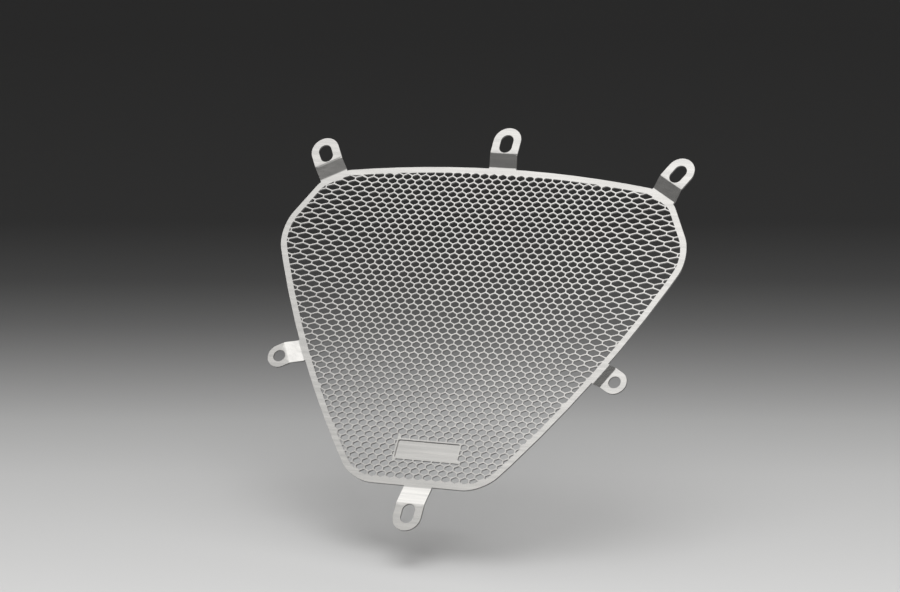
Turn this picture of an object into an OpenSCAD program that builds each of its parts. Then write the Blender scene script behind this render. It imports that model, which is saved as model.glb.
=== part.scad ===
// Oil cooler guard: one flat stainless sheet with a honeycomb of openings, a plain
// border, a small recessed plate and six joggled tabs that bolt to the bodywork.
// It stands upright: X runs across, Z runs up and the front faces -Y.
// The origin is midway between the two side screw holes, on the tabs' back faces.

/* [Sheet] */
// Thickness of the sheet
sheet_t = 1; // [0.8:0.1:1.5]
// Width of the plain border around the honeycomb
border_w = 3.2; // [2.6:0.1:5]

/* [Outline] */
// Height of the sheet at its middle, without the tabs
sheet_h = 179.5; // [176:0.5:190]
// Half the width of the top edge, between the two shoulder facets
top_half_w = 84.5; // [80:0.5:88]
// Rise of the top edge's bow
top_bow = 6; // [3:0.5:9]
// Length of the slanted facet that carries each shoulder tab
facet_l = 15.5; // [15:0.5:17]
// Slope of that facet, in degrees
facet_a = 30; // [24:1:36]
// Half the greatest width of the sheet, before its corners are rounded
wide_half_w = 114; // [110:0.5:118]
// Height of the widest corners above the bottom edge
wide_z = 137; // [132:1:142]
// Half the width of the bottom edge, before its corners are rounded
foot_half_w = 35.5; // [33:0.5:42]
// Outward bow of each slanted side
side_bow = 5.5; // [3:0.5:7]
// Rounding of the shoulders and of the facets' outer ends
shoulder_r = 10; // [4:1:14]
// Rounding of the two widest corners
wide_r = 24; // [14:1:28]
// Rounding of the two bottom corners
foot_r = 22; // [14:1:24]

/* [Honeycomb] */
// Distance between neighbouring openings in a row, at the middle of the sheet
pitch_x = 11.5; // [10:0.1:15]
// Distance between rows
pitch_z = 6.9; // [6:0.1:9]
// Width of the metal left between openings
web_w = 1.7; // [1:0.1:2.4]
// Share of the row distance that the slanted webs rise
slant_share = 0.42; // [0.3:0.02:0.56]
// Half columns each side of the middle that keep the even pitch
even_columns = 10; // [7:1:14]
// Widening of each half column beyond those, towards the sides
widening = 0.124; // [0:0.004:0.14]

/* [Plate] */
// Width of the plate
plate_w = 33; // [24:1:40]
// Height of the plate
plate_h = 10; // [7:0.5:12]
// Height of the plate's middle above the bottom edge
plate_z = 19.2; // [17:0.2:26]
// Rounding of the plate's corners
plate_r = 1.2; // [0.9:0.1:2]
// Width of the rim around the plate's recess
rim_w = 0.8; // [0.4:0.1:0.8]
// Depth of the recess
recess_d = 0.4; // [0.2:0.1:0.5]

/* [Tabs] */
// Forward step of each tab
step_y = 3.2; // [2:0.2:5]
// Slope of the sheet between a tab's two bends, in degrees
bend_a = 28; // [22:1:45]
// The same slope on the bottom tab
low_bend_a = 19; // [16:1:45]
// Inner radius of the bends
bend_r = 1; // [0.6:0.1:1.4]
// Flat length between the sheet's edge and a tab's first bend
stub_l = 1.2; // [1:0.1:2]
// Width of the four slotted tabs
slot_tab_w = 15; // [13:0.5:15.5]
// Width of the slots
slot_w = 7; // [5:0.5:8]
// Length of the slots from end to end
slot_l = 10.4; // [8.4:0.2:12]
// Distance from the second bend to the middle of a slot
slot_land = 5.8; // [5.2:0.2:9]
// Metal left beyond the end of a slot
slot_rim = 4; // [2.6:0.2:5]
// Width of the two side tabs
hole_tab_w = 12.6; // [11:0.2:16]
// Diameter of the side screw holes
hole_d = 6.5; // [5:0.5:7]
// Distance from the second bend to the middle of a side screw hole
hole_land = 4.4; // [4:0.2:8]
// Share of the slanted side that lies above the middle of the side tabs
side_tab_at = 0.475; // [0.3:0.025:0.7]
// Sideways place of the two middle tabs and of the plate
middle_x = 1.2; // [-2:0.2:2]

/* [Hidden] */
$fn = 40;
// Depth beyond a face that a cut runs
spare = 1;
// How far a tab's root runs into the border
root_l = 1.5;
// An opening stays if its middle is no further than this beyond the honeycomb's edge
overhang = 2;

// Points of a shallow bow from a to b, leaving out both ends
function bowed(a, b, bow, parts) = [for (i = [1:parts - 1]) on_bow(a, b, bow, i / parts)];
function on_bow(a, b, bow, t) = a + (b - a) * t + left_of(b - a) * 4 * bow * t * (1 - t);
function left_of(v) = [-v[1], v[0]] / norm(v);
function unit(v) = v / norm(v);

// Points that round the corner at b, coming from a and going on to c
function rounded(a, b, c, r, parts) =
    let (u = unit(a - b), v = unit(c - b), half = acos(u * v) / 2,
         middle = b + unit(u + v) * r / sin(half), arm = b + u * r / tan(half) - middle,
         turn = (cross(u, v) < 0 ? 1 : -1) * (180 - 2 * half))
    [for (i = [0:parts]) middle + turned(arm, turn * i / parts)];
function turned(v, angle) =
    [v[0] * cos(angle) - v[1] * sin(angle), v[0] * sin(angle) + v[1] * cos(angle)];

// A closed loop moved inwards by d, for points that run clockwise
function inset(loop, d) = [
    for (i = [0:len(loop) - 1])
        let (n = len(loop), before = unit(loop[i] - loop[(i + n - 1) % n]),
             after = unit(loop[(i + 1) % n] - loop[i]), both = before + after)
        loop[i] - left_of(both) * norm(both) * 2 * d / (both * both)];

function mirrored(points) = [for (i = [len(points) - 1:-1:0]) [-points[i][0], points[i][1]]];

// Corners of the sheet's right half, measured up from the bottom edge
shoulder = [top_half_w, sheet_h - top_bow];
facet_end = shoulder + facet_l * [cos(facet_a), -sin(facet_a)];
widest = [wide_half_w, wide_z];
foot = [foot_half_w, 0];
top_points = bowed([-shoulder[0], shoulder[1]], shoulder, top_bow, 12);
side_points = bowed(widest, foot, side_bow, 8);
right_half = concat(
    rounded(top_points[10], shoulder, facet_end, shoulder_r, 3),
    rounded(shoulder, facet_end, widest, shoulder_r, 3),
    rounded(facet_end, widest, side_points[0], wide_r, 8),
    side_points,
    rounded(side_points[6], foot, [0, 0], foot_r, 8));
outline = concat(top_points, right_half, mirrored(right_half));
mesh_edge = inset(outline, border_w);
middle_edge = inset(outline, border_w - overhang);

// Side tabs stand square to the slanted side, shoulder tabs square to their facets
side_foot = on_bow(widest, foot, side_bow, side_tab_at);
side_run = on_bow(widest, foot, side_bow, side_tab_at + 0.01) - side_foot;
side_a = 90 + atan2(-side_run[0], -side_run[1]);
facet_middle = (shoulder + facet_end) / 2;
side_reach = stub_l + step_y / tan(bend_a) + hole_land;
side_hole = side_foot + side_reach * [sin(side_a), cos(side_a)];
// Height of the origin above the bottom edge, and the depth of the tabs' back faces
origin_z = side_hole[1];
origin_y = -step_y;

// Distance from the middle to a half column: even at first, wider towards the sides
function column_x(c) =
    let (out = max(0, abs(c) - even_columns))
    sign(c) * pitch_x / 2 * (abs(c) + widening * out * (out + 1) / 2);

// True where a point lies inside a loop
function within(p, loop) =
    let (n = len(loop), hits = [for (i = [0:n - 1])
        let (a = loop[i], b = loop[(i + 1) % n])
        if ((a[1] > p[1]) != (b[1] > p[1])
            && p[0] < a[0] + (b[0] - a[0]) * (p[1] - a[1]) / (b[1] - a[1])) i])
    len(hits) % 2 == 1;

function on_plate(p) =
    abs(p[0] - middle_x) < plate_w / 2 - overhang && abs(p[1] - plate_z) < plate_h / 2 - overhang;

// One six-sided opening between half columns c - 1 and c + 1, half a web inside its cell
module opening(c) {
    rise = pitch_z * slant_share;
    low = column_x(c - 1) + web_w / 2;
    high = column_x(c + 1) - web_w / 2;
    middle = column_x(c);
    // The slanted webs' slope sets how far their edges stand off the cell's corners
    slope = rise / (column_x(c + 1) - column_x(c - 1)) * 2;
    tip = (pitch_z + rise) / 2 - web_w / 2 * sqrt(1 + slope * slope);
    drop_low = slope * (middle - low);
    drop_high = slope * (high - middle);
    polygon([
        [low, drop_low - tip], [middle, -tip], [high, drop_high - tip],
        [high, tip - drop_high], [middle, tip], [low, tip - drop_low]]);
}

module openings() {
    last_row = ceil(sheet_h / pitch_z);
    last_column = ceil(2 * wide_half_w / pitch_x);
    for (row = [0:last_row], c = [-last_column:last_column])
        if ((row + c) % 2 == 0) {
            p = [column_x(c), (row + 0.5) * pitch_z];
            if (within(p, middle_edge) && !on_plate(p))
                translate([0, p[1]]) opening(c);
        }
}

// A rectangle with rounded corners about the plate's middle
module plate_shape(w, h, r) {
    corners = [[-w / 2, -h / 2], [-w / 2, h / 2], [w / 2, h / 2], [w / 2, -h / 2]];
    translate([middle_x, plate_z])
        polygon([for (i = [0:3], p = rounded(corners[(i + 3) % 4], corners[i], corners[(i + 1) % 4], r, 5)) p]);
}

module sheet() {
    difference() {
        rotate([90, 0, 0]) linear_extrude(sheet_t) difference() {
            polygon(outline);
            difference() {
                intersection() {
                    polygon(mesh_edge);
                    openings();
                }
                plate_shape(plate_w, plate_h, plate_r);
            }
        }
        translate([0, recess_d - sheet_t, 0]) rotate([90, 0, 0]) linear_extrude(recess_d + spare)
            plate_shape(plate_w - 2 * rim_w, plate_h - 2 * rim_w, plate_r - rim_w);
    }
}

// A slot or, with equal length and width, a round hole through a tab
module screw_hole(w, l) {
    rotate([90, 0, 0]) translate([0, 0, -spare]) {
        for (side = [-1, 1]) translate([0, side * (l - w) / 2, 0]) cylinder(d = w, h = step_y + sheet_t + 2 * spare);
        if (l > w)
            translate([-w / 2, (w - l) / 2, 0]) cube([w, l - w, step_y + sheet_t + 2 * spare]);
    }
}

// A tab that rises along +Z from the sheet's edge, steps forward and ends round
module tab(w, land, hole_w, hole_l, rim, slope) {
    second = stub_l + step_y / tan(slope);
    reach = second + land;
    end = reach + hole_l / 2 + rim;
    shift = sheet_t * [-1, -tan(slope / 2)];
    back = [[0, -root_l], [0, stub_l], [-step_y, second], [-step_y, end + spare]];
    front = [for (p = back) p + shift];
    difference() {
        intersection() {
            rotate([90, 0, 90]) linear_extrude(w, center = true) polygon(concat(
                [back[0]],
                rounded(back[0], back[1], back[2], bend_r + sheet_t, 4),
                rounded(back[1], back[2], back[3], bend_r, 4),
                [back[3], front[3]],
                rounded(front[3], front[2], front[1], bend_r + sheet_t, 4),
                rounded(front[2], front[1], front[0], bend_r, 4),
                [front[0] + [0, sheet_t * tan(slope / 2)]]));
            translate([0, spare, 0]) rotate([90, 0, 0]) linear_extrude(step_y + sheet_t + 2 * spare) {
                translate([-w / 2, -root_l]) square([w, end - w / 2 + root_l]);
                translate([0, end - w / 2]) circle(d = w);
            }
        }
        translate([0, 0, reach]) screw_hole(hole_w, hole_l);
    }
}

module slotted_tab(slope) {
    tab(slot_tab_w, slot_land, slot_w, slot_l, slot_rim, slope);
}

module side_tab() {
    tab(hole_tab_w, hole_land, hole_d, hole_d, (hole_tab_w - hole_d) / 2, bend_a);
}

module guard() {
    color("silver") translate([0, -origin_y, -origin_z]) union() {
        sheet();
        translate([middle_x, 0, sheet_h - top_drop(middle_x)]) slotted_tab(bend_a);
        translate([middle_x, 0, 0]) rotate([0, 180, 0]) slotted_tab(low_bend_a);
        for (side = [-1, 1]) {
            translate([side * facet_middle[0], 0, facet_middle[1]]) rotate([0, side * facet_a, 0])
                slotted_tab(bend_a);
            translate([side * side_foot[0], 0, side_foot[1]]) rotate([0, side * side_a, 0]) side_tab();
        }
    }
}
function top_drop(x) = top_bow * (x / top_half_w) * (x / top_half_w);

guard();
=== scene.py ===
import math

import bmesh
import bpy
from mathutils import Matrix, Vector
from mathutils.geometry import intersect_line_line_2d


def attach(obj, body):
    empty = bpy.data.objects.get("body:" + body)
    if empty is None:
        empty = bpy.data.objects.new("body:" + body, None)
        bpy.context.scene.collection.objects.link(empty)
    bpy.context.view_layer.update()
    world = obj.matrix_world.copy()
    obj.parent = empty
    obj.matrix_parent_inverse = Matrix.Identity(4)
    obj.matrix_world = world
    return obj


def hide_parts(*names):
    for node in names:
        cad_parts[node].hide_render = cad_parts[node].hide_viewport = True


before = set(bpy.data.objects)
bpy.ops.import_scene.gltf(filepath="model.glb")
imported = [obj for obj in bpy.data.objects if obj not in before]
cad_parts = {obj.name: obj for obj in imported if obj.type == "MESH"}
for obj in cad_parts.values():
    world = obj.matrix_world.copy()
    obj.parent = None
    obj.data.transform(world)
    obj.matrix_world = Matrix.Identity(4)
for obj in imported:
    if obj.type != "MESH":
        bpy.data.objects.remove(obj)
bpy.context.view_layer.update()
print("stage 1: frame loaded,", len(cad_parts), "node")

# The guard is drawn flat in millimetres, heights measured up from the bottom edge,
# and taken into the frame at the end: front face towards -Y, X across, Z up.
sheet = {
    "thickness": 1.0,
    "border": 3.2,
    "height": 179.5,
    "topHalfWidth": 84.5,
    "topBow": 6.0,
    "facetLength": 15.5,
    "facetSlope": 30.0,
    "wideHalfWidth": 114.0,
    "wideHeight": 137.0,
    "footHalfWidth": 35.5,
    "sideBow": 5.5,
    "shoulderRound": 10.0,
    "wideRound": 24.0,
    "footRound": 22.0,
    "topParts": 12,  # straight pieces of the bowed top, and of each bowed side
    "sideParts": 8,
    "shoulderSegments": 4,
    "wideSegments": 12,
    "footSegments": 12,
}


def corner(angleFrom, length):
    return Vector((math.cos(math.radians(angleFrom)), 0, math.sin(math.radians(angleFrom)))) * length


def flatPoint(x, z):
    return Vector((x, 0, z))


def onBow(start, end, bow, share):
    run = end - start
    outward = Vector((-run.z, 0, run.x)).normalized()
    return start + run * share + outward * 4 * bow * share * (1 - share)


# Splits the edge between two corners and lifts the new points onto a shallow bow
def bowBetween(bm, first, last, bow, parts):
    start, end = first.co.copy(), last.co.copy()
    vert = first
    for part in range(1, parts):
        edge = bm.edges.get((vert, last))
        vert = bmesh.utils.edge_split(edge, vert, 1 / (parts - part + 1))[1]
        vert.co = onBow(start, end, bow, part / parts)


# Rounds a corner of a flat shape to a radius
def roundCorner(bm, vert, radius, segments):
    one, other = [(edge.other_vert(vert).co - vert.co).normalized() for edge in vert.link_edges]
    bmesh.ops.bevel(bm, geom=[vert], offset=radius / math.tan(one.angle(other) / 2), offset_type="OFFSET",
                    segments=segments, profile=0.5, affect="VERTICES", material=-1)


shoulder = flatPoint(sheet["topHalfWidth"], sheet["height"] - sheet["topBow"])
facetEnd = shoulder + corner(-sheet["facetSlope"], sheet["facetLength"])
widest = flatPoint(sheet["wideHalfWidth"], sheet["wideHeight"])
foot = flatPoint(sheet["footHalfWidth"], 0)


# One face with the whole outline of the sheet
def drawOutline(bm):
    right = [shoulder, facetEnd, widest, foot]
    left = [flatPoint(-point.x, point.z) for point in reversed(right)]
    rightVerts = [bm.verts.new(point) for point in right]
    leftVerts = [bm.verts.new(point) for point in left]
    bm.faces.new(rightVerts + leftVerts)
    bowBetween(bm, leftVerts[3], rightVerts[0], sheet["topBow"], sheet["topParts"])
    bowBetween(bm, rightVerts[2], rightVerts[3], sheet["sideBow"], sheet["sideParts"])
    bowBetween(bm, leftVerts[0], leftVerts[1], sheet["sideBow"], sheet["sideParts"])
    rounds = [(sheet[name + "Round"], sheet[name + "Segments"])
              for name in ("shoulder", "shoulder", "wide", "foot")]
    for vert, (radius, segments) in zip(rightVerts + leftVerts[::-1], rounds + rounds):
        roundCorner(bm, vert, radius, segments)


honeycomb = {
    "pitch": 5.0,  # between neighbours in a row
    "rows": 3.0,
    "firstRow": 2.0,  # height of the lowest row's middle
    "rise": 1.26,  # of the slanted webs
    "web": 0.58,
    "evenColumns": 23,  # half columns each side of the middle before the openings widen
    "widening": 0.054,
    "squeezeAbove": 146.0,  # rows draw closer above this height
    "squeeze": 0.045,
    "cornerRound": 0.3,
    "columns": 42,  # half columns drawn each side of the middle, before the border cuts them
    "lines": 62,
    "smallest": 0.62,  # least half width of a cell that still becomes an opening
    "smallestOpening": 0.3,  # least half width of the opening itself
    "lowestOpening": 0.9,  # least height of an opening
    "mergeWithin": 0.35,
    "straightAngle": 172.0,  # a corner flatter than this is taken out
    "roundsWhole": 2.2,  # an edge this many corner rounds long leaves room for both of them
    "roundShare": 0.42,  # of a shorter edge that its corners may take
}


def columnX(column):
    out = max(0, abs(column) - honeycomb["evenColumns"])
    steps = abs(column) + honeycomb["widening"] * out * (out + 1) / 2
    return math.copysign(honeycomb["pitch"] / 2 * steps, column)


def rowZ(line):
    height = honeycomb["firstRow"] + honeycomb["rows"] * (line - 0.5)
    return height - honeycomb["squeeze"] * max(0, height - honeycomb["squeezeAbove"])


plate = {
    "width": 35.0,
    "height": 11.2,
    "middle": (1.0, 19.6),
    "round": 1.2,
    "rim": 0.75,
    "recess": 0.6,
    "recessRound": 0.3,  # what the recess keeps of the corners beyond the rim's share
    "wallSlant": 0.06,
    "cutReach": 3.2,  # cells this near the plate's place are cut by its sides
    "aslant": (-0.7, 0.4),  # cells this far over both sides are cut by the corner between them
}


def drawPlate(bm, shrink, radius):
    halfW, halfH = plate["width"] / 2 - shrink, plate["height"] / 2 - shrink
    x, z = plate["middle"]
    sides = ((-1, -1), (-1, 1), (1, 1), (1, -1))
    verts = [bm.verts.new((x + sx * halfW, 0, z + sz * halfH)) for sx, sz in sides]
    made = bm.faces.new(verts)
    for vert in verts:
        roundCorner(bm, vert, radius, 4)
    return made


# A grid whose lines zigzag and whose every second upright is taken out is a honeycomb
def drawCells(bm, planes):
    columns, rows = honeycomb["columns"], honeycomb["lines"]
    bmesh.ops.create_grid(bm, x_segments=2 * columns, y_segments=rows, size=1)
    place = {}
    for vert in bm.verts:
        column, line = round(vert.co.x * columns), round((vert.co.y + 1) / 2 * rows) - 1
        place[vert] = (column, line)
        lift = honeycomb["rise"] / 2 * (1 if (column + line) % 2 == 0 else -1)
        vert.co = (columnX(column), 0, rowZ(line) + lift)
    uprights = []
    for edge in bm.edges:
        (column, line), (otherColumn, otherLine) = (place[vert] for vert in edge.verts)
        if column == otherColumn and (column + min(line, otherLine)) % 2 == 1:
            uprights.append(edge)
    bmesh.ops.dissolve_edges(bm, edges=uprights)
    for point, normal in planes:
        bmesh.ops.bisect_plane(bm, geom=bm.verts[:] + bm.edges[:] + bm.faces[:], dist=0.0001,
                               plane_co=point - normal * (sheet["border"] - honeycomb["web"] / 2),
                               plane_no=normal, clear_outer=True)


# Takes the plate's place out of the cells: each cell is cut by the one side, or corner, it lies across
def cutPlatePlace(bm):
    cell = bm.faces.layers.int.new("cell")
    for number, face in enumerate(bm.faces):
        face[cell] = number
    x, z = plate["middle"]
    halfW = (plate["width"] - honeycomb["web"]) / 2
    halfH = (plate["height"] - honeycomb["web"]) / 2
    least, most = plate["aslant"]
    cuts = {}
    for face in bm.faces:
        middle = face.calc_center_median()
        overX, overZ = abs(middle.x - x) - halfW, abs(middle.z - z) - halfH
        if max(overX, overZ) < plate["cutReach"]:
            aslant = least < overX < most and least < overZ < most
            outward = Vector((math.copysign(1, middle.x - x) * (aslant or overX > overZ), 0,
                              math.copysign(1, middle.z - z) * (aslant or overX <= overZ)))
            spot = Vector((x + outward.x * halfW, 0, z + outward.z * halfH))
            cuts[face[cell]] = (spot, outward.normalized())
    inside = []
    for number, (spot, outward) in cuts.items():
        face = next(face for face in bm.faces if face[cell] == number)
        bmesh.ops.bisect_plane(bm, geom=list(face.verts) + list(face.edges) + [face], dist=0.0001,
                               plane_co=spot, plane_no=outward)
    for face in bm.faces:
        if face[cell] in cuts:
            spot, outward = cuts[face[cell]]
            if (face.calc_center_median() - spot).dot(outward) < 0:
                inside.append(face)
    bmesh.ops.delete(bm, geom=inside, context="FACES")


def depthOf(face):
    heights = [vert.co.z for vert in face.verts]
    return max(heights) - min(heights)


def halfWidth(face):
    return 2 * face.calc_area() / face.calc_perimeter()


def crossesItself(face):
    points = [Vector((vert.co.x, vert.co.z)) for vert in face.verts]
    count = len(points)
    for i in range(count):
        for j in range(i + 2, count):
            after = (j + 1) % count
            if after != i and intersect_line_line_2d(points[i], points[i + 1], points[j], points[after]):
                return True
    return False


def bevelCorners(bm, verts, offset):
    bmesh.ops.bevel(bm, geom=verts, offset=offset, offset_type="OFFSET", segments=2, profile=0.5,
                    affect="VERTICES", material=-1)


# Shrinks every cell by half a web and rounds its corners, which leaves the openings' own faces
def shrinkCells(bm):
    web = honeycomb["web"] / 2
    small = [face for face in bm.faces if halfWidth(face) < honeycomb["smallest"]]
    bmesh.ops.delete(bm, geom=small, context="FACES")
    cells = bm.faces[:]
    ring = bmesh.ops.inset_individual(bm, faces=cells, thickness=web, use_even_offset=True)["faces"]
    inner = set(cells)
    crossed = []
    for face in ring:
        for loop in face.loops:
            if any(other in inner for other in loop.edge.link_faces):
                opposite = loop.link_loop_next.link_loop_next
                here = loop.link_loop_next.vert.co - loop.vert.co
                there = opposite.link_loop_next.vert.co - opposite.vert.co
                if here.dot(there) > 0:
                    crossed.append(tuple(loop.edge.verts))
    for one, other in crossed:
        if one.is_valid and other.is_valid:
            bmesh.ops.pointmerge(bm, verts=[one, other], merge_co=(one.co + other.co) / 2)
    bmesh.ops.delete(bm, geom=[face for face in ring if face.is_valid], context="FACES")
    poor = [face for face in bm.faces
            if halfWidth(face) < honeycomb["smallestOpening"] or depthOf(face) < honeycomb["lowestOpening"]
            or len(face.verts) != 6 and crossesItself(face)]
    bmesh.ops.delete(bm, geom=poor, context="FACES")
    bmesh.ops.remove_doubles(bm, verts=bm.verts, dist=honeycomb["mergeWithin"])
    flattest = math.radians(honeycomb["straightAngle"])
    straight = [loop.vert for face in bm.faces for loop in face.loops if loop.calc_angle() > flattest]
    bmesh.ops.dissolve_verts(bm, verts=straight)
    whole, cut = [], []
    for face in bm.faces:
        shortest = min(edge.calc_length() for edge in face.edges)
        roomy = shortest > honeycomb["roundsWhole"] * honeycomb["cornerRound"]
        (whole if roomy else cut).append((face, shortest))
    bevelCorners(bm, [vert for face, shortest in whole for vert in face.verts], honeycomb["cornerRound"])
    for face, shortest in cut:
        radius = min(honeycomb["cornerRound"], honeycomb["roundShare"] * shortest)
        bevelCorners(bm, list(face.verts), radius)


tab = {
    "step": 3.2,
    "stub": 1.2,
    "slope": 28.0,
    "lowSlope": 19.0,
    "bendRadius": 1.0,
    "slotTabWidth": 15.0,
    "slot": (7.0, 10.4),
    "slotLand": 5.77,
    "holeTabWidth": 12.6,
    "hole": (6.5, 6.5),
    "holeLand": 4.4,
    "sideShare": 0.475,
    "middleX": 1.2,
    "segments": 32,
    "foot": 0.3,  # how far above the sheet's edge a tab's skin ends, before it is joined on
    "joinReach": 4.0,  # the rim is looked for this near a tab's root
    "joinBelow": 2.4,
}


# The front skin of one tab: a ring round its slot, and a strip that steps back to the sheet
def drawTab(bm, width, hole, land, slope, place):
    radians = math.radians(slope)
    second = tab["stub"] + tab["step"] / math.tan(radians)
    shift = sheet["thickness"] * math.tan(radians / 2)
    bendLow, bendHigh = tab["stub"] - shift, second - shift
    front = -tab["step"]
    halfRun = (hole[1] - hole[0]) / 2
    middle = second + land
    steps = tab["segments"]
    upright = Matrix.Translation((0, front, middle)) @ Matrix.Rotation(math.pi / 2, 4, "X")
    made = bmesh.ops.create_circle(bm, cap_ends=False, segments=steps, radius=hole[0] / 2, matrix=upright)
    inner = made["verts"]
    upper = [vert for vert in inner if vert.co.z > middle - 0.001]
    lower = [vert for vert in inner if vert not in upper]
    bmesh.ops.translate(bm, verts=upper, vec=(0, 0, halfRun))
    bmesh.ops.translate(bm, verts=lower, vec=(0, 0, -halfRun))
    edges = list({edge for vert in inner for edge in vert.link_edges})
    made = bmesh.ops.extrude_edge_only(bm, edges=edges)["geom"]
    outer = [item for item in made if isinstance(item, bmesh.types.BMVert)]
    lowest = []
    for vert in outer:
        if vert.co.z > middle:
            arm = vert.co - Vector((0, front, middle + halfRun))
            vert.co += arm.normalized() * (width - hole[0]) / 2
        else:
            arm = vert.co - Vector((0, front, middle - halfRun))
            toSide = width / 2 / max(abs(arm.x), 0.0001)
            toBend = (middle - halfRun - bendHigh) / max(-arm.z, 0.0001)
            vert.co = vert.co - arm + arm * min(toSide, toBend)
            if toBend < toSide:
                lowest.append(vert)
    lowest.sort(key=lambda vert: vert.co.x)
    for number, vert in enumerate(lowest):
        vert.co.x = width * (number / (len(lowest) - 1) - 0.5)
    chain = [edge for edge in bm.edges if edge.verts[0] in lowest and edge.verts[1] in lowest]
    bends = [chain]
    for height in (bendLow, tab["foot"]):
        made = bmesh.ops.extrude_edge_only(bm, edges=bends[-1])["geom"]
        verts = [item for item in made if isinstance(item, bmesh.types.BMVert)]
        for vert in verts:
            vert.co.y, vert.co.z = 0, height
        bends.append([item for item in made if isinstance(item, bmesh.types.BMEdge)
                      and all(vert in verts for vert in item.verts)])
    for bend, radius in ((bends[0], tab["bendRadius"] + sheet["thickness"]), (bends[1], tab["bendRadius"])):
        bmesh.ops.bevel(bm, geom=bend, offset=radius * math.tan(radians / 2), offset_type="OFFSET",
                        segments=4, profile=0.5, affect="EDGES", material=-1)
    bmesh.ops.transform(bm, matrix=place, verts=bm.verts)


def bringIn(bm, other):
    held = bpy.data.meshes.new("held")
    other.to_mesh(held)
    other.free()
    bm.from_mesh(held)
    bpy.data.meshes.remove(held)


# Adds a finished tab to the sheet and closes the strip between its foot and the sheet's edge
def joinTab(bm, width, hole, land, slope, root, turn):
    place = Matrix.Translation(root) @ Matrix.Rotation(math.radians(turn), 4, "Y")
    across, up = (place.to_3x3() @ Vector(axis) for axis in ((1, 0, 0), (0, 0, 1)))
    corners = []
    for side in (-1, 1):
        point = root + across * side * width / 2
        for edge in [edge for edge in bm.edges if edge.is_boundary or edge.is_wire]:
            near, far = ((vert.co - point).dot(across) for vert in edge.verts)
            if near * far < 0:
                share = near / (near - far)
                spot = edge.verts[0].co.lerp(edge.verts[1].co, share)
                if (spot - point).length < tab["joinReach"]:
                    corners.append(bmesh.utils.edge_split(edge, edge.verts[0], share)[1])
                    break
    rim = []
    for edge in bm.edges:
        if edge.is_boundary or edge.is_wire:
            overs = [abs((vert.co - root).dot(across)) for vert in edge.verts]
            heights = [(vert.co - root).dot(up) for vert in edge.verts]
            if (max(overs) < width / 2 + 0.001 and max(heights) < tab["joinReach"]
                    and min(heights) >= -tab["joinBelow"]):
                rim.append(edge)
    part = bmesh.new()
    drawTab(part, width, hole, land, slope, place)
    known = set(bm.verts)
    bringIn(bm, part)
    added = [vert for vert in bm.verts if vert not in known]
    footVerts = [vert for vert in added if (vert.co - root).dot(up) < tab["foot"] + 0.001]
    footVerts.sort(key=lambda vert: (vert.co - root).dot(across))
    footEdges = [edge for edge in bm.edges if edge.verts[0] in footVerts and edge.verts[1] in footVerts]
    corners.sort(key=lambda vert: (vert.co - root).dot(across))
    sides = [bm.edges.new((corners[0], footVerts[0])), bm.edges.new((corners[1], footVerts[-1]))]
    bmesh.ops.contextual_create(bm, geom=rim + footEdges + sides)
    return rim


def outlinePlanes(bm):
    planes = []
    for loop in bm.faces[:][0].loops:
        run = loop.link_loop_next.vert.co - loop.vert.co
        outward = Vector((-run.z, 0, run.x)).normalized()
        if outward.dot(loop.vert.co - flatPoint(0, sheet["height"] / 2)) < 0:
            outward.negate()
        planes.append((loop.vert.co.copy(), outward))
    return planes


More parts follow.
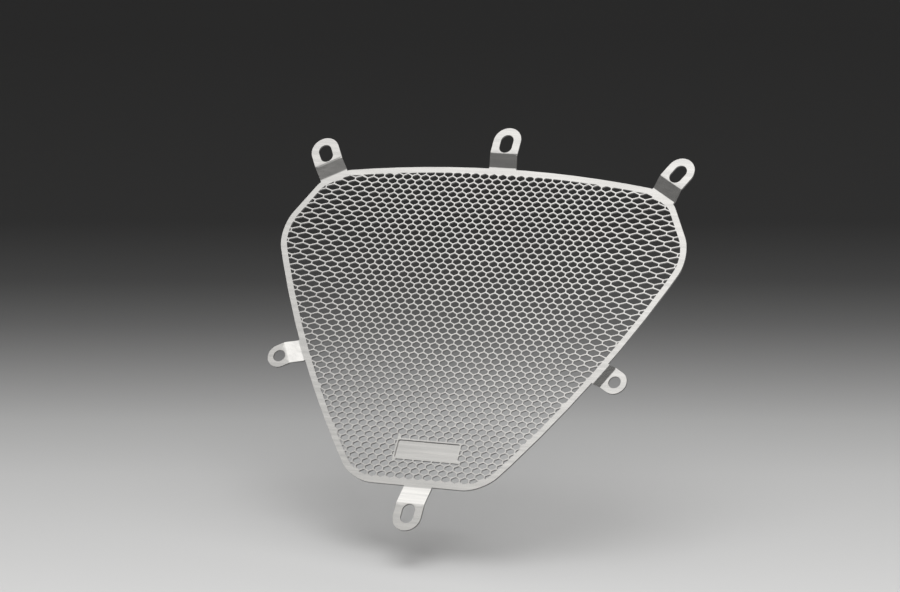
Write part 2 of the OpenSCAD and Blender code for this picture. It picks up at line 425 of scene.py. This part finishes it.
def buildGuard():
    bm = bmesh.new()
    mark = bm.faces.layers.int.new("recess")
    drawOutline(bm)
    planes = outlinePlanes(bm)
    cells = bmesh.new()
    drawCells(cells, planes)
    cutPlatePlace(cells)
    shrinkCells(cells)
    print("stage 2:", len(cells.faces), "openings drawn")
    bringIn(bm, cells)
    drawPlate(bm, plate["rim"], plate["round"] - plate["rim"] + plate["recessRound"])
    bm.faces.ensure_lookup_table()
    recess = bm.faces[-1]
    recess[mark] = 1
    bmesh.ops.delete(bm, geom=[face for face in bm.faces if face is not recess], context="FACES_ONLY")

    slots = (tab["slotTabWidth"], tab["slot"], tab["slotLand"])
    topShare = 0.5 + tab["middleX"] / 2 / shoulder.x
    topRoot = onBow(flatPoint(-shoulder.x, shoulder.z), shoulder, sheet["topBow"], topShare)
    rims = joinTab(bm, *slots, tab["slope"], topRoot, 0)
    rims += joinTab(bm, *slots, tab["lowSlope"], flatPoint(tab["middleX"], 0), 180)
    facetMiddle = (shoulder + facetEnd) / 2
    sideFoot = onBow(widest, foot, sheet["sideBow"], tab["sideShare"])
    run = onBow(widest, foot, sheet["sideBow"], tab["sideShare"] + 0.01) - sideFoot
    sideTurn = 90 + math.degrees(math.atan2(-run.x, -run.z))
    for side in (-1, 1):
        rims += joinTab(bm, *slots, tab["slope"], flatPoint(side * facetMiddle.x, facetMiddle.z),
                        side * sheet["facetSlope"])
        rims += joinTab(bm, tab["holeTabWidth"], tab["hole"], tab["holeLand"], tab["slope"],
                        flatPoint(side * sideFoot.x, sideFoot.z), side * sideTurn)
    loops = [edge for edge in bm.edges if edge.is_wire] + rims + list(recess.edges)
    known = set(bm.faces)
    bmesh.ops.triangle_fill(bm, use_beauty=True, use_dissolve=False, edges=list(set(loops)),
                            normal=(0, -1, 0))
    print("stage 3: skin filled,", len(bm.faces) - len(known), "triangles")

    for face in bm.faces:  # the skin faces the front everywhere
        if face.normal.y > 0:
            face.normal_flip()
    front = bm.faces[:]
    bmesh.ops.solidify(bm, geom=front, thickness=sheet["thickness"])

    sunk = [face for face in bm.faces if face[mark] == 1 and face.normal.y < 0]
    bmesh.ops.inset_individual(bm, faces=sunk, thickness=plate["wallSlant"], depth=-plate["recess"],
                                use_even_offset=True)
    toFrame = (0, tab["step"] - sheet["thickness"], -sideHeight(sideFoot, sideTurn))
    bmesh.ops.translate(bm, verts=bm.verts, vec=toFrame)
    bmesh.ops.scale(bm, verts=bm.verts, vec=(0.001, 0.001, 0.001))
    return finish(bm, "honeycombGuard")


# Height of the side screw holes, where the frame has its origin
def sideHeight(root, turn):
    reach = tab["stub"] + tab["step"] / math.tan(math.radians(tab["slope"])) + tab["holeLand"]
    return root.z + reach * math.cos(math.radians(turn))


sharpFrom = 28.0  # degrees between two faces that make their edge a sharp one


def finish(bm, name):
    mesh = bpy.data.meshes.new(name)
    bm.to_mesh(mesh)
    bm.free()
    mesh.shade_smooth()
    mesh.set_sharp_from_angle(angle=math.radians(sharpFrom))
    piece = bpy.data.objects.new(name, mesh)
    bpy.context.scene.collection.objects.link(piece)
    return piece


guard = buildGuard()
print("stage 4: guard made,", len(guard.data.polygons), "faces")

# Satin stainless steel: rolled, lightly brushed, a little uneven in its tone and gloss, with
# rougher cut edges whose dark colour is partly their own cut tone and partly painted shade
steelLook = {
    "colour": (0.87, 0.858, 0.834, 1),
    "dullColour": (0.76, 0.75, 0.732, 1),
    # the cut edges' colour: partly the cut steel's own darker tone, partly painted shade on the openings'
    # walls
    "cutEdgeAndShadeColour": (0.26, 0.255, 0.25, 1),
    "roughness": 0.2,
    "roughnessSpread": 0.08,
    "cutRoughness": 0.38,
    "grain": 1000.0,  # brushed lines per metre, roughly
    "grainLength": 50.0,
    "grainDepth": 0.000012,
    "streak": 450.0,  # rolling streaks per metre, roughly
    "streakLength": 20.0,
    "streakRange": (0.35, 0.62),
    "cloud": 28.0,
    "cloudShare": 0.45,
    "rolledFrom": (0.3, 0.6),  # how squarely a face looks to the front or back to count as rolled
    "bump": 0.35,
    "glossRange": (0.3, 0.7),
    "grainDetail": 3.0,
    "cloudDetail": 4.0,
    "streakDetail": 5.0,
}


# Spreads one range of a value over another
def mapRange(nodes, links, value, fromRange, toRange=(0, 1), smooth=False):
    node = nodes.new("ShaderNodeMapRange")
    if smooth:
        node.interpolation_type = "SMOOTHSTEP"
    node.inputs["From Min"].default_value, node.inputs["From Max"].default_value = fromRange
    node.inputs["To Min"].default_value, node.inputs["To Max"].default_value = toRange
    links.new(value, node.inputs["Value"])
    return node.outputs["Result"]


# How far a vector goes along a direction
def along(nodes, links, vector, direction):
    node = nodes.new("ShaderNodeVectorMath")
    node.operation = "DOT_PRODUCT"
    node.inputs[1].default_value = direction
    links.new(vector, node.inputs[0])
    return node.outputs["Value"]


def noise(nodes, links, vector, scale, detail):
    node = nodes.new("ShaderNodeTexNoise")
    node.inputs["Scale"].default_value = scale
    node.inputs["Detail"].default_value = detail
    links.new(vector, node.inputs["Vector"])
    return node.outputs["Fac"]


# Stretches a place along X, so that a noise read there makes lines across the sheet
def stretched(nodes, links, vector, length, lines):
    node = nodes.new("ShaderNodeMapping")
    node.inputs["Scale"].default_value = (length, lines, lines)
    links.new(vector, node.inputs["Vector"])
    return node.outputs["Vector"]


def makeSteel():
    material = bpy.data.materials.new("satinSteel")
    material.use_nodes = True
    nodes, links = material.node_tree.nodes, material.node_tree.links
    shader = nodes["Principled BSDF"]
    shader.inputs["Metallic"].default_value = 1.0
    where = nodes.new("ShaderNodeTexCoord")
    place = where.outputs["Object"]
    brushed = stretched(nodes, links, place, steelLook["grainLength"], steelLook["grain"])
    grain = noise(nodes, links, brushed, 1.0, steelLook["grainDetail"])
    cloud = noise(nodes, links, place, steelLook["cloud"], steelLook["cloudDetail"])
    both = nodes.new("ShaderNodeMix")
    both.inputs["Factor"].default_value = steelLook["cloudShare"]
    links.new(grain, both.inputs["A"])
    links.new(cloud, both.inputs["B"])
    spread = steelLook["roughnessSpread"] / 2
    gloss = mapRange(nodes, links, both.outputs["Result"], steelLook["glossRange"],
                     (steelLook["roughness"] - spread, steelLook["roughness"] + spread))

    facing = nodes.new("ShaderNodeSeparateXYZ")
    links.new(where.outputs["Normal"], facing.inputs["Vector"])
    flat = nodes.new("ShaderNodeMath")
    flat.operation = "ABSOLUTE"
    links.new(facing.outputs["Y"], flat.inputs[0])
    # 1 on the rolled faces, 0 on the cut edges, which get the dark colour that is partly painted shade
    rolled = mapRange(nodes, links, flat.outputs["Value"], steelLook["rolledFrom"])
    tone = nodes.new("ShaderNodeMix")
    tone.data_type = "RGBA"
    tone.inputs[6].default_value = steelLook["dullColour"]
    tone.inputs[7].default_value = steelLook["colour"]
    pulled = stretched(nodes, links, place, steelLook["streakLength"], steelLook["streak"])
    streak = noise(nodes, links, pulled, 1.0, steelLook["streakDetail"])
    links.new(mapRange(nodes, links, streak, steelLook["streakRange"]), tone.inputs["Factor"])
    # the cut edges get a dark colour, partly their own cut tone and partly painted shade
    colour = nodes.new("ShaderNodeMix")
    colour.data_type = "RGBA"
    colour.inputs[6].default_value = steelLook["cutEdgeAndShadeColour"]
    links.new(rolled, colour.inputs["Factor"])
    links.new(tone.outputs[2], colour.inputs[7])
    links.new(colour.outputs[2], shader.inputs["Base Color"])
    roughness = nodes.new("ShaderNodeMix")
    roughness.inputs["A"].default_value = steelLook["cutRoughness"]
    links.new(rolled, roughness.inputs["Factor"])
    links.new(gloss, roughness.inputs["B"])
    links.new(roughness.outputs["Result"], shader.inputs["Roughness"])
    bump = nodes.new("ShaderNodeBump")
    bump.inputs["Strength"].default_value = steelLook["bump"]
    bump.inputs["Distance"].default_value = steelLook["grainDepth"]
    links.new(grain, bump.inputs["Height"])
    links.new(bump.outputs["Normal"], shader.inputs["Normal"])
    return material


guard.data.materials.append(makeSteel())
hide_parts("guard")
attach(guard, "root")
print("stage 5: steel put on")

# The camera stands low in front of the guard, turned to the photograph's view
cameraPlace = {
    "place": (0.876665, -1.831714, -0.844985),
    "right": (0.914708, 0.326466, 0.238179),
    "up": (-0.066268, -0.460230, 0.885323),
    "lens": 176.0,
    "clip": (0.05, 60.0),
}
right, up = Vector(cameraPlace["right"]), Vector(cameraPlace["up"])
back = right.cross(up)
lens = bpy.data.cameras.new("camera")
lens.lens = cameraPlace["lens"]
lens.clip_start, lens.clip_end = cameraPlace["clip"]
camera = bpy.data.objects.new("camera", lens)
turned = Matrix((right, up, back)).transposed().to_4x4()
camera.matrix_world = Matrix.Translation(cameraPlace["place"]) @ turned
bpy.context.scene.collection.objects.link(camera)
bpy.context.scene.camera = camera

# The studio leans with the camera: its floor lies just below the guard's lowest tab
studio = {
    "pitch": 15.0,  # how far the camera looks down on the floor
    "gap": 0.086,  # from the frame's origin down to the floor
    # metres away from the guard, and how pale the floor is painted there: darker farther away, a painted
    # falloff of the studio light
    "floorPaintedFalloff": ((-0.1, 0.79), (0.1, 0.7), (0.2, 0.62), (0.3, 0.49), (0.4, 0.355), (0.5, 0.25),
                   (0.65, 0.17), (1.25, 0.145)),
    "floorGamma": 2.2,
    "floorRadius": 7.0,
    "floorSegments": 96,
    "floorRoughness": 0.9,
    "floorSpecular": 0.1,
    "lightColour": (1, 0.995, 0.985, 1),
    "softBox": (0.14, -0.51, 0.849),  # the way to the middle of the overhead soft box
    "softEdge": (0.626, 0.72),
    "bright": 1.09,
    "dark": 0.16,
    "behind": 0.55,
    "fill": (0.25, -0.95, 0.2),
    "fillEdge": (0.83, 0.935),
    "front": 0.85,
    "rearEdge": (0.1, 0.6),
    "backdrop": (0.18, 0.021),
    "hazeEdge": (-0.3, 0.3),
}
pitch = math.radians(studio["pitch"])
studioUp = (up * math.cos(pitch) + back * math.sin(pitch)).normalized()
studioAway = (-back * math.cos(pitch) + up * math.sin(pitch)).normalized()
studioRight = studioAway.cross(studioUp)


def makeFloor():
    bm = bmesh.new()
    bmesh.ops.create_circle(bm, cap_ends=True, segments=studio["floorSegments"], radius=studio["floorRadius"])
    place = Matrix((studioRight, studioAway, studioUp)).transposed().to_4x4()
    bmesh.ops.transform(bm, matrix=Matrix.Translation(-studioUp * studio["gap"]) @ place, verts=bm.verts)
    mesh = bpy.data.meshes.new("floor")
    bm.to_mesh(mesh)
    bm.free()
    floor = bpy.data.objects.new("floor", mesh)
    bpy.context.scene.collection.objects.link(floor)
    material = bpy.data.materials.new("paleFloor")
    material.use_nodes = True
    nodes, links = material.node_tree.nodes, material.node_tree.links
    shader = nodes["Principled BSDF"]
    shader.inputs["Roughness"].default_value = studio["floorRoughness"]
    shader.inputs["Specular IOR Level"].default_value = studio["floorSpecular"]
    where = nodes.new("ShaderNodeTexCoord")
    depth = along(nodes, links, where.outputs["Object"], studioAway)
    # The floor's colour is painted darker farther from the guard: painted light falloff
    falloffStops = studio["floorPaintedFalloff"]
    nearest, farthest = falloffStops[0][0], falloffStops[-1][0]
    fade = mapRange(nodes, links, depth, (nearest, farthest))
    tone = nodes.new("ShaderNodeValToRGB")
    stops = tone.color_ramp.elements
    for number, (depthHere, pale) in enumerate(falloffStops):
        share = (depthHere - nearest) / (farthest - nearest)
        stop = stops[0] if share == 0 else stops[-1] if share == 1 else stops.new(share)
        stop.color = (pale, pale, pale, 1)
    links.new(fade, tone.inputs["Fac"])
    shade = nodes.new("ShaderNodeMath")
    shade.operation = "POWER"
    shade.inputs[1].default_value = studio["floorGamma"]
    links.new(tone.outputs["Color"], shade.inputs[0])
    links.new(shade.outputs["Value"], shader.inputs["Base Color"])
    clear = nodes.new("ShaderNodeBsdfTransparent")
    side = nodes.new("ShaderNodeNewGeometry")
    mix = nodes.new("ShaderNodeMixShader")
    links.new(side.outputs["Backfacing"], mix.inputs["Fac"])
    links.new(shader.outputs["BSDF"], mix.inputs[1])
    links.new(clear.outputs["BSDF"], mix.inputs[2])
    links.new(mix.outputs["Shader"], nodes["Material Output"].inputs["Surface"])
    mesh.materials.append(material)


makeFloor()


# A soft box overhead, a fill in front and a glow behind, dark around them. Past the floor's rim the
# camera sees a plain backdrop that runs from grey at its own side to near black at the far side
def makeWorld():
    world = bpy.data.worlds.new("studio")
    world.use_nodes = True
    bpy.context.scene.world = world
    nodes, links = world.node_tree.nodes, world.node_tree.links
    light = nodes["Background"]
    light.inputs["Color"].default_value = studio["lightColour"]
    where = nodes.new("ShaderNodeTexCoord")
    direction = where.outputs["Generated"]
    towards = along(nodes, links, direction, Vector(studio["softBox"]).normalized())
    brightest = mapRange(nodes, links, towards, studio["softEdge"], (studio["dark"], studio["bright"]), True)
    rear = nodes.new("ShaderNodeSeparateXYZ")
    links.new(direction, rear.inputs["Vector"])
    glow = mapRange(nodes, links, rear.outputs["Y"], studio["rearEdge"], (0, studio["behind"]), True)
    ahead = along(nodes, links, direction, Vector(studio["fill"]).normalized())
    fill = mapRange(nodes, links, ahead, studio["fillEdge"], (0, studio["front"]), True)
    for other in (glow, fill):
        most = nodes.new("ShaderNodeMath")
        most.operation = "MAXIMUM"
        links.new(brightest, most.inputs[0])
        links.new(other, most.inputs[1])
        brightest = most.outputs["Value"]
    links.new(brightest, light.inputs["Strength"])

    beyond = along(nodes, links, direction, studioAway)
    haze = mapRange(nodes, links, beyond, studio["hazeEdge"], studio["backdrop"], True)
    plain = nodes.new("ShaderNodeBackground")
    links.new(haze, plain.inputs["Color"])
    ray = nodes.new("ShaderNodeLightPath")
    mix = nodes.new("ShaderNodeMixShader")
    links.new(ray.outputs["Is Camera Ray"], mix.inputs["Fac"])
    links.new(light.outputs["Background"], mix.inputs[1])
    links.new(plain.outputs["Background"], mix.inputs[2])
    links.new(mix.outputs["Shader"], nodes["World Output"].inputs["Surface"])


makeWorld()

key = {
    "size": 1.0,
    "distance": 1.3,
    "power": 8.8,
    "aim": (-0.03, -0.2, 0.95),  # to the studio's right, away from the camera and up
}
lamp = bpy.data.lights.new("softKey", "AREA")
lamp.shape = "DISK"
lamp.size = key["size"]
lamp.energy = key["power"]
softKey = bpy.data.objects.new("softKey", lamp)
aimRight, aimAway, aimUp = key["aim"]
aim = (studioUp * aimUp + studioAway * aimAway + studioRight * aimRight).normalized()
facingDown = aim.to_track_quat("Z", "Y").to_matrix().to_4x4()
softKey.matrix_world = Matrix.Translation(aim * key["distance"]) @ facingDown
softKey.visible_glossy = False
bpy.context.scene.collection.objects.link(softKey)
print("stage 6: studio and camera set")

bpy.context.scene.view_settings.view_transform = "Standard"
bpy.context.view_layer.update()
